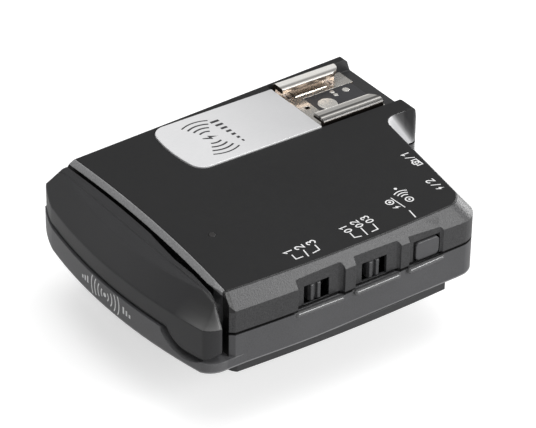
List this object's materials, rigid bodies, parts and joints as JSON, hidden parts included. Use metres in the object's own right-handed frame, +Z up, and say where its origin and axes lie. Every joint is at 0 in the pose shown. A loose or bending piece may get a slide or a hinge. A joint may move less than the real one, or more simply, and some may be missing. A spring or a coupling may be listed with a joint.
{
  "type": "wireless flash trigger",
  "caption": "Flat radio transceiver for camera flashes, with a flash shoe on top, a locking shoe foot below and a swing-up antenna bar.",
  "frame": {"origin": "centre of the shoe foot's underside, under the middle of the flash shoe", "axes": "+X from the antenna end to the shoe end, the way a camera's shoe or a flash slides off; the switch side faces -Y; +Z up"},
  "size_m": [0.0926, 0.073, 0.037],
  "materials": {
    "case_plastic": "fine-grained moulded, matt",
    "label_film": "satin printed film",
    "satin_plate": "satin silver",
    "nickel_steel": "bright nickel plate, bent from sheet",
    "spring_steel": "satin",
    "contact_metal": "plated, bright",
    "black_insulator": "moulded",
    "screw_steel": "dark zinc",
    "antenna_plastic": "satin moulded",
    "copper_strip": "bare strip",
    "pin_steel": "turned or pressed",
    "knob_plastic": "moulded",
    "plated_can": "tin-plated sheet",
    "circuit_board": "solder-masked laminate",
    "lamp_lens": "clear tinted",
    "jack_plastic": "moulded",
    "cell_sleeve": "shrink sleeve, plain",
    "foot_metal": "cast and machined",
    "gold_contact": "gold flash",
    "ring_plastic": "ribbed"
  },
  "bodies": {
    "case": {"upper_case": "case_plastic", "lower_case": "case_plastic", "top_label": "label_film", "name_plate": "satin_plate", "shoe_rails": "nickel_steel", "shoe_insulator": "black_insulator", "shoe_contacts": "contact_metal", "shoe_spring": "spring_steel", "shoe_screws": "screw_steel", "antenna_washer": "spring_steel", "slide_switch_bodies": "plated_can", "test_switch": "plated_can", "switch_board": "circuit_board", "main_board": "circuit_board", "radio_module": "plated_can", "status_lamp": "lamp_lens", "sync_jacks": "jack_plastic", "usb_socket": "plated_can", "battery_cells": "cell_sleeve", "battery_contacts": "spring_steel", "battery_springs": "spring_steel", "foot_plate": "foot_metal", "foot_column": "ring_plastic", "foot_insulator": "black_insulator", "foot_pins": "gold_contact", "foot_bracket": "pin_steel", "case_screws": "screw_steel"},
    "antenna": {"antenna_cover": "antenna_plastic", "antenna_base": "antenna_plastic", "antenna_element": "copper_strip", "antenna_pivot": "pin_steel", "antenna_screws": "screw_steel"},
    "channel_knob": {"channel_switch_knob": "knob_plastic"},
    "mode_knob": {"mode_switch_knob": "knob_plastic"},
    "button": {"test_button": "case_plastic"},
    "carrier": {"door_carrier": "pin_steel", "door_hinge_pin": "pin_steel"},
    "door": {"battery_door": "case_plastic"},
    "ring": {"lock_ring": "ring_plastic"},
    "lock_pin": {"foot_lock_pin": "pin_steel"}
  },
  "joints": [
    {"name": "antenna_swing", "type": "hinge", "parent": "case", "child": "antenna", "pos_m": [-0.0697, -0.0504, 0.0268], "axis": [1, 0, 0], "range_deg": [0, 180]},
    {"name": "channel_slide", "type": "slide", "parent": "case", "child": "channel_knob", "axis": [1, 0, 0], "range_m": [-0.0015, 0.0016]},
    {"name": "mode_slide", "type": "slide", "parent": "case", "child": "mode_knob", "axis": [1, 0, 0], "range_m": [-0.0016, 0.0016]},
    {"name": "test_press", "type": "slide", "parent": "case", "child": "button", "axis": [0, 1, 0], "range_m": [0, 0.0006], "stiffness_N_per_m": 400, "springref_m": -0.001},
    {"name": "door_slide", "type": "slide", "parent": "case", "child": "carrier", "axis": [1, 0, 0], "range_m": [0, 0.004]},
    {"name": "door_swing", "type": "hinge", "parent": "carrier", "child": "door", "pos_m": [-0.0065, -0.0336, 0.0154], "axis": [0, -1, 0], "range_deg": [0, 95]},
    {"name": "ring_turn", "type": "hinge", "parent": "case", "child": "ring", "pos_m": [0, 0, 0.0075], "axis": [0, 0, 1], "range_deg": [0, 100]},
    {"name": "lock_pin_drop", "type": "slide", "parent": "case", "child": "lock_pin", "axis": [0, 0, -1], "range_m": [0, 0.0016]}
  ],
  "couplings": [
    {"joint": "lock_pin_drop", "follows": "ring_turn", "m_per_rad": 0.00091673}
  ]
}
